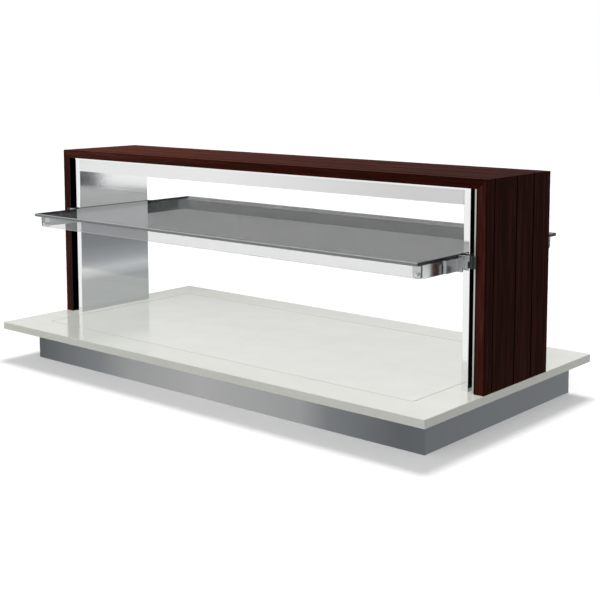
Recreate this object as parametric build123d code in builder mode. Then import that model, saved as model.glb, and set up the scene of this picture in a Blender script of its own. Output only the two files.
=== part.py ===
from build123d import *
import os

# Refrigerated buffet island. Millimetres, X along the length, -Y to the front, +Z up.
# The origin is on the floor, under the centre of the worktop.

# Worktop
top_length = 1500.0
top_depth = 760.0
skin_thickness = 12.0          # the stone skin
apron_width = 12.0             # the mitred stone edge that hangs from the skin
support_thickness = 8.0        # the steel plate inside the apron
corner_round = 2.0
edge_round = 1.0
seat_gap = 0.3                 # loose fit of a part that drops into another

# Cold plate and what lies under it
stone_border = 100.0           # worktop's edge to the cold plate's, all round
cold_thickness = 8.0
cold_corner = 4.0
seam_width = 2.0
seam_recess = 0.6
spreader_thickness = 4.0
coil_radius = 5.0
coil_passes = 9
coil_turn_flat = 6.5           # straight part at the middle of each turn
coil_side_inset = 30.0         # from the cold plate's long edge to the first pass
coil_end_inset = 50.0          # from the cold plate's end to the coil's turns
coil_drop = 32.0               # how far its two ends dive towards the tray
coil_drop_bend = 15.0
coil_tail_step = 20.0          # the tails run this far outside the turns

# Base
base_height = 84.0
overhang_left = 82.0
overhang_right = 44.0
overhang_front = 66.0
overhang_rear = 30.0
skirt_gauge = 2.0
skirt_flange = 20.0
pan_gauge = 1.5
tray_gauge = 1.5
tray_lift = 25.0               # height of the cross members under the tray
rail_width = 20.0
rail_gauge = 2.0
rail_gap = 0.5                 # between the tray and a rail
rail_end_gap = 14.0
cross_width = 40.0
cross_inset = 200.0            # from the cold plate's end to the outer cross members

# Service space behind the rear rail
box_length = 110.0
box_height = 60.0
box_depth = 34.0
box_gauge = 2.0
box_from_end = 489.0           # box centre to the skirt's right wall
block_length = 70.0
block_depth = 16.0
block_height = 20.0
driver_length = 160.0
driver_height = 30.0
driver_depth = 30.0
driver_from_end = 294.0        # driver centre to the skirt's right wall
lead_radius = 3.0
lead_height = 16.0             # above the floor pan
gland_height = 40.0            # above the floor
gland_flange_radius = 12.0
gland_flange = 5.0
gland_radius = 8.0
gland_dome = 12.0
gland_bore = 4.0
union_flange_radius = 12.0
union_flange = 4.0
union_radius = 8.5
union_tail = 16.0
union_bore = 3.0
hole_gap = 0.1                 # round hole against what passes through it
clear_gap = 1.0                # open hole round a pipe or cable
probe_radius = 3.0
probe_length = 50.0
probe_lead_radius = 1.5
probe_lead_offset = 15.0       # from the terminal box's centre
probe_lead_run = 50.0
probe_lead_drop = 24.0
probe_lead_bend = 8.0
tray_screw_radius = 2.5
tray_screw_head_radius = 4.5
tray_screw_head_height = 2.5
tray_screw_inset = 20.0        # from the cold plate's end to the first screw
tray_screw_columns = 4

# Portal
portal_height = 496.0          # above the worktop
portal_depth = 290.0
board = 23.0
groove_width = 4.0
groove_depth = 3.0
groove_from_front = (35.0, 133.0, 211.0)
panel_ease = 1.0
plate_thickness = 8.0
slot_width = 16.0
column_thickness = 18.0
column_recess = 8.0
column_gauge = 1.5
crosshead_thickness = 5.0
housing_height = 34.0
housing_gauge = 1.5
housing_lip = 10.0
housing_gap = 0.3
diffuser_thickness = 3.0
strip_width = 14.0
strip_thickness = 5.0
strip_pitch = 70.0
strip_count = 3
strip_end_gap = 50.0
rod_radius = 4.0
rod_inset = 32.0               # from a column's edge to the rod's centre
rod_tail = 3.0                 # rod beyond its nut
nut_flats = 13.0
nut_height = 6.5
pocket_radius = 10.0
spacer_depth = 120.0
spacer_height = 10.0
panel_screw_radius = 2.4
panel_screw_head_radius = 4.5
panel_screw_head_height = 2.5
panel_screw_length = 20.0
plate_screw_spacing = 180.0
plate_screw_rows = 3
plate_screw_pitch = 180.0
leg_screw_radius = 3.0
leg_screw_head_radius = 5.0
leg_screw_head_height = 3.0
leg_screw_depth = 30.0
leg_screw_pitch = 90.0
beam_screw_inset = 180.0       # from a column to the outer screws

# Shelf
shelf_height = 321.0           # top of the glass above the worktop
shelf_depth = 622.0
shelf_end_gap = 5.0            # from the glass end to the column
glass_thickness = 8.0
lip_height = 32.0
lip_thickness = 6.0
lip_setback = 21.0
lip_inset = 5.0
lip_corner = 8.0
arm_thickness = 5.0
arm_tab_width = 28.0
arm_tab_thickness = 4.0
arm_gap = 0.3
lip_screw_inset = 14.0
lip_screw_height = 9.0
lip_screw_radius = 2.4
lip_screw_head_radius = 4.5
lip_screw_head_height = 2.0
bracket_gauge = 4.0
bracket_height = 28.0
bracket_drop = 1.0             # glass top to bracket top
bracket_reach = 46.0           # bracket flange along the arm
bracket_glass_gap = 1.5
bracket_heel = 19.0            # part of the plate that is as low as the arm
bracket_screw_first = 15.0     # from the bracket's fold
bracket_screw_spacing = 23.0
bracket_screw_radius = 2.4
bracket_screw_head_radius = 4.0
bracket_screw_head_height = 2.5
notch_width = 4.6
notch_height = 16.0
shoe_gap = 0.3                 # running gap of the shoe, each side
shoe_stem = 36.0
shoe_head = 4.7
shoe_nose_radius = 4.1
shoe_head_lap = 12.0           # head in front of the column
shoe_head_cover = 2.0          # head in front of the leg
bar_thickness = 8.0
clamp_radius = 3.0
clamp_offset = 6.0             # from the column's outer face
clamp_drop = 6.0               # below the bracket's top
pad_radius = 4.5
pad_thickness = 1.5
travel_up = 100.0
travel_down = 140.0
stop_height = 15.0
stop_depth = 20.0
stop_gap = 0.5                 # left between a stop and the bar at the end of travel
stop_thickness = 9.0

# Levels
support_top = base_height + support_thickness
deck = support_top + skin_thickness
spreader_top = deck - cold_thickness
spreader_bottom = spreader_top - spreader_thickness
coil_level = spreader_bottom - coil_radius
pan_top = skirt_gauge + pan_gauge
rail_top = base_height - tray_gauge
tray_bottom = pan_top + tray_lift
tray_floor = tray_bottom + tray_gauge
portal_top = deck + portal_height
beam_bottom = portal_top - board
crosshead_bottom = beam_bottom - crosshead_thickness
housing_bottom = crosshead_bottom - housing_height
glass_top = deck + shelf_height
glass_bottom = glass_top - glass_thickness
arm_bottom = glass_bottom - lip_height
bracket_top = glass_top - bracket_drop
bracket_bottom = bracket_top - bracket_height

# Half sizes and stations, from the centre outwards
half_length = top_length / 2
half_depth = top_depth / 2
cold_length = top_length - 2 * stone_border
cold_width = top_depth - 2 * stone_border
well_x = cold_length / 2 + seam_width
well_y = cold_width / 2 + seam_width
tray_x = well_x + tray_gauge
tray_y = well_y + tray_gauge
skirt_left = -half_length + overhang_left
skirt_right = half_length - overhang_right
skirt_front = -half_depth + overhang_front
skirt_rear = half_depth - overhang_rear
inner_left = skirt_left + skirt_gauge
inner_right = skirt_right - skirt_gauge
inner_front = skirt_front + skirt_gauge
inner_rear = skirt_rear - skirt_gauge
box_x = inner_right - box_from_end
driver_x = inner_right - driver_from_end
rail_y = tray_y + rail_gap
panel_x = half_length - board
plate_x = panel_x - plate_thickness
slot_x = plate_x - slot_width
column_x = slot_x - column_thickness
column_mid = (column_x + slot_x) / 2
portal_y = portal_depth / 2
column_y = portal_y - column_recess
rod_y = column_y - rod_inset
glass_x = column_x - shelf_end_gap
glass_y = shelf_depth / 2
arm_x = glass_x - lip_inset
lip_y = glass_y - lip_setback
arm_y = lip_y - lip_thickness - arm_gap
bracket_y = portal_y + shoe_gap + shoe_head
lead_level = pan_top + lead_height
lead_y = inner_rear - driver_depth / 2 - seat_gap
cable_y = strip_pitch
strip_top = crosshead_bottom - housing_gauge
strip_end = column_x - strip_end_gap
shelf_ends = [(side, end) for side in (-1, 1) for end in (-1, 1)]
side_names = {-1: "left", 1: "right"}
end_names = {-1: "front", 1: "rear"}


def block(x0, x1, y0, y1, z0, z1, mode=Mode.ADD):
    """A rectangular block between two opposite corners."""
    with BuildSketch(Plane.XY.offset(min(z0, z1))) as section:
        with Locations(((x0 + x1) / 2, (y0 + y1) / 2)):
            Rectangle(abs(x1 - x0), abs(y1 - y0))
    extrude(section.sketch, amount=abs(z1 - z0), mode=mode)


def post(x, y, z0, z1, radius, mode=Mode.ADD):
    """A round bar along Z."""
    with BuildSketch(Plane.XY.offset(min(z0, z1))) as section:
        with Locations((x, y)):
            Circle(radius)
    extrude(section.sketch, amount=abs(z1 - z0), mode=mode)


def bar_x(y, z, x0, x1, radius, mode=Mode.ADD):
    """A round bar along X."""
    with BuildSketch(Plane.YZ.offset(min(x0, x1))) as section:
        with Locations((y, z)):
            Circle(radius)
    extrude(section.sketch, amount=abs(x1 - x0), mode=mode)


def bar_y(x, z, y0, y1, radius, mode=Mode.ADD):
    """A round bar along Y."""
    with BuildSketch(Plane.XZ.offset(-max(y0, y1))) as section:
        with Locations((x, z)):
            Circle(radius)
    extrude(section.sketch, amount=abs(y1 - y0), mode=mode)


def pipe(points, radius, bends, mode=Mode.ADD):
    """A round pipe along straight runs joined by tangent arcs."""
    with BuildLine() as route:
        FilletPolyline(*points, radius=bends)
    line = route.wires()[0]
    with BuildSketch(Plane(origin=line @ 0, z_dir=line % 0)) as section:
        Circle(radius)
    sweep(section.sketch, path=line, mode=mode)


def save(piece, name):
    """Labels a finished piece and writes its file."""
    piece.part.label = name
    export_step(piece.part, f"parts/{name}.step")


os.makedirs("parts", exist_ok=True)

# Places shared by holes and the things in them
rod_places = [(side * column_mid, end * rod_y) for side, end in shelf_ends]
leg_screw_x = half_length - apron_width - seat_gap - leg_screw_head_radius
leg_screws_at = [
    (side * leg_screw_x, step * leg_screw_pitch) for side in (-1, 1) for step in (-1, 0, 1)
]
beam_screw_x = column_mid - beam_screw_inset
beam_screws_at = [(step * beam_screw_x, end * rod_y) for step in (-1, 0, 1) for end in (-1, 1)]
tray_screw_x = cold_length / 2 - tray_screw_inset
tray_screws_at = [
    (-tray_screw_x + 2 * tray_screw_x * column / (tray_screw_columns - 1), end * (rail_y + rail_width / 2))
    for column in range(tray_screw_columns)
    for end in (-1, 1)
]
plate_mid = (deck + beam_bottom) / 2
plate_screws_at = [
    (end * plate_screw_spacing / 2, plate_mid + (row - (plate_screw_rows - 1) / 2) * plate_screw_pitch)
    for row in range(plate_screw_rows)
    for end in (-1, 1)
]
box_rear = inner_rear
box_front = box_rear - box_depth
gland_x = box_x

# Route of the evaporator coil, from one pipe union to the other
turn_x = cold_length / 2 - coil_end_inset
coil_half = cold_width / 2 - coil_side_inset
coil_pitch = 2 * coil_half / (coil_passes - 1)
coil_bend = (coil_pitch - coil_turn_flat) / 2
tail_level = coil_level - coil_drop
tail_x = turn_x + coil_tail_step
union_seat = skirt_rear + union_flange + union_tail / 2
coil_points = [
    (tail_x, union_seat, tail_level),
    (tail_x, coil_half, tail_level),
    (tail_x, coil_half, coil_level),
]
for turn in range(coil_passes):
    pass_y = coil_half - turn * coil_pitch
    direction = -1 if turn % 2 == 0 else 1
    if turn > 0:
        coil_points.append((-direction * turn_x, pass_y, coil_level))
    if turn < coil_passes - 1:
        coil_points.append((direction * turn_x, pass_y, coil_level))
coil_points += [
    (direction * tail_x, -coil_half, coil_level),
    (direction * tail_x, -coil_half, tail_level),
    (direction * tail_x, union_seat, tail_level),
]
coil_bends = (
    [coil_drop_bend] * 2 + [coil_bend] * (2 * (coil_passes - 1)) + [coil_drop_bend] * 2
)
tail_xs = (tail_x, direction * tail_x)

# Route of the probe's lead
probe_y = coil_half - (coil_passes // 2 - 0.5) * coil_pitch
probe_level = spreader_bottom - probe_radius
lead_turn_x = box_x - probe_lead_offset
probe_x = lead_turn_x - probe_lead_run - probe_length
lead_low = probe_level - probe_lead_drop
probe_lead_points = [
    (probe_x + probe_length, probe_y, probe_level),
    (lead_turn_x, probe_y, probe_level),
    (lead_turn_x, probe_y, lead_low),
    (lead_turn_x, box_front + box_gauge, lead_low),
]

# Route of the lighting cable, from the driver up through the right column
cable_x = column_mid
cable_level = strip_top - lead_radius - hole_gap
driver_right = driver_x + driver_length / 2
cable_points = [
    (driver_right, lead_y, lead_level),
    (cable_x, lead_y, lead_level),
    (cable_x, cable_y, lead_level),
    (cable_x, cable_y, cable_level),
    (strip_end, cable_y, cable_level),
]
cable_bend = 10 * lead_radius
cable_top_bend = 2 * lead_radius

# The stone worktop: a skin with a mitred edge, open for the cold plate
with BuildPart() as worktop:
    block(-half_length, half_length, -half_depth, half_depth, base_height, deck)
    fillet(worktop.edges().filter_by(Axis.Z), radius=corner_round)
    fillet(worktop.faces().sort_by(Axis.Z)[-1].edges(), radius=edge_round)
    block(
        -half_length + apron_width, half_length - apron_width, -half_depth + apron_width,
        half_depth - apron_width, base_height, support_top, Mode.SUBTRACT,
    )
    with BuildSketch(Plane.XY.offset(support_top)):
        RectangleRounded(2 * well_x, 2 * well_y, cold_corner + seam_width)
    extrude(amount=skin_thickness, mode=Mode.SUBTRACT)
    for x, y in rod_places:
        post(x, y, support_top, deck, rod_radius + clear_gap, Mode.SUBTRACT)
    for x, y in leg_screws_at:
        post(x, y, support_top, deck, leg_screw_radius + hole_gap, Mode.SUBTRACT)
    post(cable_x, cable_y, support_top, deck, lead_radius + clear_gap, Mode.SUBTRACT)
save(worktop, "worktop")

# The steel plate that stiffens the stone and carries the portal
with BuildPart() as support_plate:
    inset = apron_width + seat_gap
    block(
        -half_length + inset, half_length - inset, -half_depth + inset, half_depth - inset,
        base_height, support_top,
    )
    block(-well_x, well_x, -well_y, well_y, base_height, support_top, Mode.SUBTRACT)
    for x, y in rod_places:
        post(x, y, base_height, support_top, rod_radius + hole_gap, Mode.SUBTRACT)
    for x, y in leg_screws_at:
        post(x, y, base_height, support_top, leg_screw_radius + hole_gap, Mode.SUBTRACT)
    for x, y in tray_screws_at:
        post(x, y, base_height, support_top, tray_screw_radius + hole_gap, Mode.SUBTRACT)
        post(
            x, y, support_top - tray_screw_head_height, support_top, tray_screw_head_radius + hole_gap,
            Mode.SUBTRACT,
        )
    post(cable_x, cable_y, base_height, support_top, lead_radius + clear_gap, Mode.SUBTRACT)
save(support_plate, "support_plate")

# The flush plate that the food stands on
with BuildPart() as cold_plate:
    with BuildSketch(Plane.XY.offset(spreader_top)):
        RectangleRounded(cold_length, cold_width, cold_corner)
    extrude(amount=cold_thickness)
save(cold_plate, "cold_plate")

# The silicone seam round it, a little below flush
with BuildPart() as seam_seal:
    with BuildSketch(Plane.XY.offset(spreader_top)):
        RectangleRounded(2 * well_x, 2 * well_y, cold_corner + seam_width)
        RectangleRounded(cold_length, cold_width, cold_corner, mode=Mode.SUBTRACT)
    extrude(amount=cold_thickness - seam_recess)
save(seam_seal, "seam_seal")

with BuildPart() as spreader_plate:
    with BuildSketch(Plane.XY.offset(spreader_bottom)):
        RectangleRounded(cold_length, cold_width, cold_corner)
    extrude(amount=spreader_thickness)
save(spreader_plate, "spreader_plate")

with BuildPart() as evaporator_coil:
    pipe(coil_points, coil_radius, coil_bends)
save(evaporator_coil, "evaporator_coil")

# Rigid foam poured round the coil
with BuildPart() as insulation:
    block(-well_x, well_x, -well_y, well_y, tray_floor, spreader_bottom)
    pipe(coil_points, coil_radius + hole_gap, coil_bends, Mode.SUBTRACT)
    bar_x(probe_y, probe_level, probe_x, probe_x + probe_length, probe_radius + hole_gap, Mode.SUBTRACT)
    pipe(probe_lead_points, probe_lead_radius + hole_gap, probe_lead_bend, Mode.SUBTRACT)
save(insulation, "insulation")

# The tray hangs by its flange from the two rails
with BuildPart() as well_tray:
    block(-tray_x, tray_x, -tray_y, tray_y, tray_bottom, base_height)
    block(
        inner_left + seat_gap, inner_right - seat_gap, inner_front + seat_gap, inner_rear - seat_gap,
        rail_top, base_height,
    )
    block(-well_x, well_x, -well_y, well_y, tray_floor, base_height, Mode.SUBTRACT)
    for x in tail_xs:
        bar_y(x, tail_level, well_y, tray_y, coil_radius + clear_gap, Mode.SUBTRACT)
    bar_y(lead_turn_x, lead_low, well_y, tray_y, probe_lead_radius + clear_gap, Mode.SUBTRACT)
    post(cable_x, cable_y, rail_top, base_height, lead_radius + clear_gap, Mode.SUBTRACT)
    for x, y in tray_screws_at:
        post(x, y, rail_top, base_height, tray_screw_radius + hole_gap, Mode.SUBTRACT)
save(well_tray, "well_tray")

# Screws that hold the support plate and the tray's flange down on the rails
with BuildPart() as tray_screws:
    for x, y in tray_screws_at:
        post(x, y, support_top - tray_screw_head_height, support_top, tray_screw_head_radius)
        post(x, y, rail_top - rail_gauge, support_top - tray_screw_head_height, tray_screw_radius)
save(tray_screws, "tray_screws")

# The folded skirt, with a flange that stands on the floor
with BuildPart() as base_skirt:
    block(skirt_left, skirt_right, skirt_front, skirt_rear, 0, base_height)
    fillet(base_skirt.edges().filter_by(Axis.Z), radius=corner_round)
    block(inner_left, inner_right, inner_front, inner_rear, skirt_gauge, base_height, Mode.SUBTRACT)
    block(
        inner_left + skirt_flange, inner_right - skirt_flange, inner_front + skirt_flange,
        inner_rear - skirt_flange, 0, skirt_gauge, Mode.SUBTRACT,
    )
    for x in tail_xs:
        bar_y(x, tail_level, inner_rear, skirt_rear, coil_radius + clear_gap, Mode.SUBTRACT)
    bar_y(gland_x, gland_height, inner_rear, skirt_rear, gland_radius + hole_gap, Mode.SUBTRACT)
save(base_skirt, "base_skirt")

with BuildPart() as floor_pan:
    block(
        inner_left + seat_gap, inner_right - seat_gap, inner_front + seat_gap, inner_rear - seat_gap,
        skirt_gauge, pan_top,
    )
save(floor_pan, "floor_pan")

# Two box-section rails carry the tray, the support plate and the stone
for end in (-1, 1):
    with BuildPart() as rail:
        near = end * rail_y
        far = end * (rail_y + rail_width)
        block(inner_left + rail_end_gap, inner_right - rail_end_gap, near, far, pan_top, rail_top)
        block(
            inner_left + rail_end_gap, inner_right - rail_end_gap, near + end * rail_gauge,
            far - end * rail_gauge, pan_top + rail_gauge, rail_top - rail_gauge, Mode.SUBTRACT,
        )
        for x, y in tray_screws_at:
            if y * end > 0:
                post(x, y, rail_top - rail_gauge, rail_top, tray_screw_radius + hole_gap, Mode.SUBTRACT)
        if end > 0:
            for x in tail_xs:
                bar_y(x, tail_level, near, far, coil_radius + clear_gap, Mode.SUBTRACT)
            bar_y(lead_turn_x, lead_low, near, far, probe_lead_radius + clear_gap, Mode.SUBTRACT)
    save(rail, f"{end_names[end]}_rail")

# Cross members under the tray tie the rails together
with BuildPart() as cross_members:
    for step in (-1, 0, 1):
        left = step * (cold_length / 2 - cross_inset) - cross_width / 2
        right = left + cross_width
        block(left, right, -rail_y, rail_y, pan_top, tray_bottom)
        block(
            left + rail_gauge, right - rail_gauge, -rail_y, rail_y, pan_top + rail_gauge,
            tray_bottom - rail_gauge, Mode.SUBTRACT,
        )
save(cross_members, "cross_members")

# Bulkhead unions where the two refrigerant pipes leave the base
with BuildPart() as pipe_unions:
    for x in tail_xs:
        bar_y(x, tail_level, skirt_rear, skirt_rear + union_flange, union_flange_radius)
        bar_y(x, tail_level, skirt_rear + union_flange, skirt_rear + union_flange + union_tail, union_radius)
        bar_y(x, tail_level, skirt_rear, union_seat, coil_radius + hole_gap, Mode.SUBTRACT)
        bar_y(x, tail_level, union_seat, skirt_rear + union_flange + union_tail, union_bore, Mode.SUBTRACT)
save(pipe_unions, "pipe_unions")

# Terminal box in the service space, with its cover towards the rail
box_bottom = pan_top
box_top = box_bottom + box_height
with BuildPart() as terminal_box:
    block(
        box_x - box_length / 2, box_x + box_length / 2, box_front + box_gauge, box_rear, box_bottom, box_top
    )
    block(
        box_x - box_length / 2 + box_gauge, box_x + box_length / 2 - box_gauge, box_front + box_gauge,
        box_rear - box_gauge, box_bottom + box_gauge, box_top - box_gauge, Mode.SUBTRACT,
    )
    bar_y(gland_x, gland_height, box_rear - box_gauge, box_rear, gland_radius + hole_gap, Mode.SUBTRACT)
save(terminal_box, "terminal_box")

with BuildPart() as terminal_cover:
    block(
        box_x - box_length / 2, box_x + box_length / 2, box_front, box_front + box_gauge, box_bottom, box_top
    )
    bar_y(
        lead_turn_x, lead_low, box_front, box_front + box_gauge, probe_lead_radius + hole_gap, Mode.SUBTRACT
    )
save(terminal_cover, "terminal_cover")

with BuildPart() as terminal_block:
    block(
        box_x - block_length / 2, box_x + block_length / 2, box_front + box_gauge,
        box_front + box_gauge + block_depth, box_bottom + box_gauge, box_bottom + box_gauge + block_height,
    )
save(terminal_block, "terminal_block")

# Cable gland for the mains lead, through the skirt into the terminal box
with BuildPart() as cable_gland:
    bar_y(gland_x, gland_height, box_rear - box_gauge, skirt_rear, gland_radius)
    bar_y(gland_x, gland_height, skirt_rear, skirt_rear + gland_flange, gland_flange_radius)
    bar_y(
        gland_x, gland_height, skirt_rear + gland_flange, skirt_rear + gland_flange + gland_dome, gland_radius
    )
    fillet(cable_gland.faces().sort_by(Axis.Y)[-1].edges(), radius=gland_dome / 4)
    bar_y(
        gland_x, gland_height, box_rear - box_gauge, skirt_rear + gland_flange + gland_dome, gland_bore,
        Mode.SUBTRACT,
    )
save(cable_gland, "cable_gland")

driver_left = driver_x - driver_length / 2
with BuildPart() as led_driver:
    block(
        driver_left, driver_right, lead_y - driver_depth / 2, lead_y + driver_depth / 2, pan_top,
        pan_top + driver_height,
    )
    fillet(led_driver.edges().filter_by(Axis.X), radius=corner_round)
save(led_driver, "led_driver")

with BuildPart() as driver_lead:
    bar_x(lead_y, lead_level, box_x + box_length / 2, driver_left, lead_radius)
save(driver_lead, "driver_lead")

with BuildPart() as lighting_cable:
    pipe(cable_points, lead_radius, [cable_bend, cable_bend, cable_top_bend])
save(lighting_cable, "lighting_cable")

with BuildPart() as temperature_probe:
    bar_x(probe_y, probe_level, probe_x, probe_x + probe_length, probe_radius)
save(temperature_probe, "temperature_probe")

with BuildPart() as probe_lead:
    pipe(probe_lead_points, probe_lead_radius, probe_lead_bend)
save(probe_lead, "probe_lead")

# Wooden legs, grooved like boards outside and mitred to the beam
groove_ys = [-portal_y + distance for distance in groove_from_front]
for side in (-1, 1):
    with BuildPart() as leg:
        with BuildSketch(Plane.XZ.offset(-portal_y)):
            with BuildLine():
                Polyline(
                    (side * half_length, deck),
                    (side * half_length, portal_top),
                    (side * panel_x, beam_bottom),
                    (side * panel_x, deck),
                    close=True,
                )
            make_face()
        extrude(amount=portal_depth)
        outer_edges = leg.edges().filter_by(Axis.Z).sort_by(lambda edge: side * edge.center().X)[-2:]
        chamfer(outer_edges, length=panel_ease)
        for y in groove_ys:
            with BuildSketch(Plane.XY.offset(deck)):
                with BuildLine():
                    Polyline(
                        (side * half_length, y - groove_width / 2),
                        (side * half_length, y + groove_width / 2),
                        (side * (half_length - groove_depth), y),
                        close=True,
                    )
                make_face()
            extrude(amount=portal_height, mode=Mode.SUBTRACT)
        for x, y in leg_screws_at:
            if x * side > 0:
                post(x, y, deck, deck + leg_screw_depth, leg_screw_radius + hole_gap, Mode.SUBTRACT)
        for y, z in plate_screws_at:
            bar_x(
                y, z, side * panel_x, side * (plate_x + panel_screw_length),
                panel_screw_radius + hole_gap, Mode.SUBTRACT,
            )
    save(leg, f"{side_names[side]}_leg_panel")

# The beam across the top, with the same grooves
with BuildPart() as beam_panel:
    with BuildSketch(Plane.XZ.offset(-portal_y)):
        with BuildLine():
            Polyline(
                (-half_length, portal_top),
                (half_length, portal_top),
                (panel_x, beam_bottom),
                (-panel_x, beam_bottom),
                close=True,
            )
        make_face()
    extrude(amount=portal_depth)
    chamfer(beam_panel.faces().sort_by(Axis.Z)[-1].edges().filter_by(Axis.X), length=panel_ease)
    for y in groove_ys:
        with BuildSketch(Plane.YZ.offset(-half_length)):
            with BuildLine():
                Polyline(
                    (y - groove_width / 2, portal_top),
                    (y + groove_width / 2, portal_top),
                    (y, portal_top - groove_depth),
                    close=True,
                )
            make_face()
        extrude(amount=top_length, mode=Mode.SUBTRACT)
    for x, y in rod_places:
        post(x, y, beam_bottom, beam_bottom + nut_height + rod_tail, pocket_radius, Mode.SUBTRACT)
    for x, y in beam_screws_at:
        post(
            x, y, beam_bottom, crosshead_bottom + panel_screw_length, panel_screw_radius + hole_gap,
            Mode.SUBTRACT,
        )
save(beam_panel, "beam_panel")

# Steel slide plates line the legs, and their edges guide the shelf's shoes
for side in (-1, 1):
    with BuildPart() as slide_plate:
        block(side * plate_x, side * panel_x, -portal_y, portal_y, deck, beam_bottom)
        for y, z in plate_screws_at:
            bar_x(y, z, side * plate_x, side * panel_x, panel_screw_radius + hole_gap, Mode.SUBTRACT)
            bar_x(
                y, z, side * plate_x, side * (plate_x + panel_screw_head_height),
                panel_screw_head_radius + hole_gap, Mode.SUBTRACT,
            )
    save(slide_plate, f"{side_names[side]}_slide_plate")

# One size of screw holds the slide plates on the legs and the crosshead under the beam
with BuildPart() as panel_screws:
    for side in (-1, 1):
        for y, z in plate_screws_at:
            bar_x(y, z, side * plate_x, side * (plate_x + panel_screw_head_height), panel_screw_head_radius)
            bar_x(
                y, z, side * (plate_x + panel_screw_head_height), side * (plate_x + panel_screw_length),
                panel_screw_radius,
            )
    for x, y in beam_screws_at:
        post(x, y, crosshead_bottom, crosshead_bottom + panel_screw_head_height, panel_screw_head_radius)
        post(
            x, y, crosshead_bottom + panel_screw_head_height, crosshead_bottom + panel_screw_length,
            panel_screw_radius,
        )
save(panel_screws, "panel_screws")

with BuildPart() as leg_screws:
    for x, y in leg_screws_at:
        post(x, y, base_height - leg_screw_head_height, base_height, leg_screw_head_radius)
        post(x, y, base_height, deck + leg_screw_depth, leg_screw_radius)
save(leg_screws, "leg_screws")

# Spacers hold each slot open at its foot and head
with BuildPart() as slot_spacers:
    for side in (-1, 1):
        for bottom in (deck, beam_bottom - spacer_height):
            block(
                side * slot_x, side * plate_x, -spacer_depth / 2, spacer_depth / 2, bottom,
                bottom + spacer_height,
            )
save(slot_spacers, "slot_spacers")

# Flat stainless columns, hollow for the tie rods and the lighting cable
for side in (-1, 1):
    with BuildPart() as column:
        block(side * column_x, side * slot_x, -column_y, column_y, deck, crosshead_bottom)
        fillet(column.edges().filter_by(Axis.Z), radius=corner_round)
        block(
            side * (column_x + column_gauge), side * (slot_x - column_gauge), -column_y + column_gauge,
            column_y - column_gauge, deck, crosshead_bottom, Mode.SUBTRACT,
        )
        if side > 0:
            bar_x(
                cable_y, cable_level, column_x, column_x + column_gauge, lead_radius + hole_gap, Mode.SUBTRACT
            )
    save(column, f"{side_names[side]}_column")

# The plate that joins the columns under the beam
with BuildPart() as crosshead:
    block(-slot_x, slot_x, -column_y, column_y, crosshead_bottom, beam_bottom)
    for x, y in rod_places:
        post(x, y, crosshead_bottom, beam_bottom, rod_radius + hole_gap, Mode.SUBTRACT)
    for x, y in beam_screws_at:
        post(x, y, crosshead_bottom, beam_bottom, panel_screw_radius + hole_gap, Mode.SUBTRACT)
        post(
            x, y, crosshead_bottom, crosshead_bottom + panel_screw_head_height,
            panel_screw_head_radius + hole_gap, Mode.SUBTRACT,
        )
save(crosshead, "crosshead")

with BuildPart() as tie_rods:
    for x, y in rod_places:
        post(x, y, base_height, beam_bottom + nut_height + rod_tail, rod_radius)
save(tie_rods, "tie_rods")

with BuildPart() as tie_nuts:
    for x, y in rod_places:
        with BuildSketch(Plane.XY.offset(beam_bottom)):
            with Locations((x, y)):
                RegularPolygon(radius=nut_flats / 2, side_count=6, major_radius=False)
        extrude(amount=nut_height)
        post(x, y, beam_bottom, beam_bottom + nut_height, rod_radius + hole_gap, Mode.SUBTRACT)
save(tie_nuts, "tie_nuts")

# The light housing: a folded channel, open below between two lips
housing_x = column_x - housing_gap
with BuildPart() as light_housing:
    block(-housing_x, housing_x, -column_y, column_y, housing_bottom, crosshead_bottom)
    block(
        -housing_x, housing_x, -column_y + housing_gauge, column_y - housing_gauge,
        housing_bottom + housing_gauge, crosshead_bottom - housing_gauge, Mode.SUBTRACT,
    )
    mouth_y = column_y - housing_gauge - housing_lip
    block(
        -housing_x, housing_x, -mouth_y, mouth_y, housing_bottom, housing_bottom + housing_gauge,
        Mode.SUBTRACT,
    )
save(light_housing, "light_housing")

with BuildPart() as light_diffuser:
    diffuser_y = column_y - housing_gauge - housing_gap
    block(
        -housing_x, housing_x, -diffuser_y, diffuser_y, housing_bottom + housing_gauge,
        housing_bottom + housing_gauge + diffuser_thickness,
    )
save(light_diffuser, "light_diffuser")

with BuildPart() as led_strips:
    for index in range(strip_count):
        strip_y = (index - (strip_count - 1) / 2) * strip_pitch
        block(
            -strip_end, strip_end, strip_y - strip_width / 2, strip_y + strip_width / 2,
            strip_top - strip_thickness, strip_top,
        )
save(led_strips, "led_strips")

# The shelf: a glass top, a clear lip along its front and its rear
with BuildPart() as shelf_glass:
    block(-glass_x, glass_x, -glass_y, glass_y, glass_bottom, glass_top)
    fillet(shelf_glass.edges().filter_by(Axis.Z), radius=corner_round)
    chamfer(shelf_glass.faces().sort_by(Axis.Z)[-1].edges(), length=edge_round)
save(shelf_glass, "shelf_glass")

lip_screw_x = arm_x - lip_screw_inset
lip_screw_z = arm_bottom + lip_screw_height
for end in (-1, 1):
    with BuildPart() as lip:
        with BuildSketch(Plane.XZ.offset(-max(end * lip_y, end * (lip_y - lip_thickness)))) as lip_outline:
            with Locations((0, (arm_bottom + glass_bottom) / 2)):
                Rectangle(2 * arm_x, lip_height)
            fillet(lip_outline.vertices().group_by(Axis.Y)[0], radius=lip_corner)
        extrude(amount=lip_thickness)
        for side in (-1, 1):
            bar_y(
                side * lip_screw_x, lip_screw_z, end * lip_y, end * (lip_y - lip_thickness),
                lip_screw_radius + hole_gap, Mode.SUBTRACT,
            )
    save(lip, f"{end_names[end]}_lip")

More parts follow.
